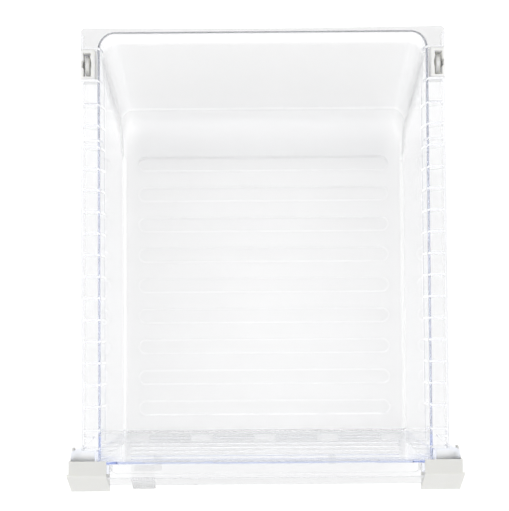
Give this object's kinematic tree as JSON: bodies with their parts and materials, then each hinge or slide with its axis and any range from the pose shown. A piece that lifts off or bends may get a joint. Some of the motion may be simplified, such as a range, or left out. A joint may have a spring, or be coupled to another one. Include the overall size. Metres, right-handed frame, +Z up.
{
  "type": "crisper drawer",
  "caption": "Clear open-topped refrigerator drawer with side rails, a handle lip between grey end caps, a sliding humidity shutter and rear rollers.",
  "frame": {"origin": "under the middle of the drawer, on the surface that it stands on", "axes": "+X to the right seen from the front, +Y to the back, +Z up, so the handle faces -Y"},
  "size_m": [0.38, 0.4485, 0.19],
  "materials": {
    "tub_clear": "clear, polished",
    "cover_clear": "clear, polished",
    "handle_clear": "clear, polished",
    "shutter_clear": "clear, polished",
    "knob_clear": "clear, polished",
    "cap_grey": "light grey, fine satin",
    "bracket_grey": "light grey, satin",
    "wheel_grey": "warm grey, satin",
    "axle_steel": "ground"
  },
  "bodies": {
    "drawer": {"bin_tub": "tub_clear", "front_cover": "cover_clear", "handle_rail": "handle_clear", "left_end_cap": "cap_grey", "right_end_cap": "cap_grey", "left_roller_bracket": "bracket_grey", "right_roller_bracket": "bracket_grey", "left_roller_axle": "axle_steel", "right_roller_axle": "axle_steel"},
    "humidity_slider": {"humidity_knob": "knob_clear", "humidity_shutter": "shutter_clear"},
    "left_wheel": {"left_roller_wheel": "wheel_grey"},
    "right_wheel": {"right_roller_wheel": "wheel_grey"}
  },
  "joints": [
    {"name": "humidity_slide", "type": "slide", "parent": "drawer", "child": "humidity_slider", "axis": [1, 0, 0], "range_m": [0, 0.039]},
    {"name": "left_wheel_spin", "type": "hinge", "parent": "drawer", "child": "left_wheel", "pos_m": [-0.17, 0.18945, 0.173], "axis": [1, 0, 0], "continuous": true},
    {"name": "right_wheel_spin", "type": "hinge", "parent": "drawer", "child": "right_wheel", "pos_m": [0.17, 0.18945, 0.173], "axis": [1, 0, 0], "continuous": true}
  ]
}
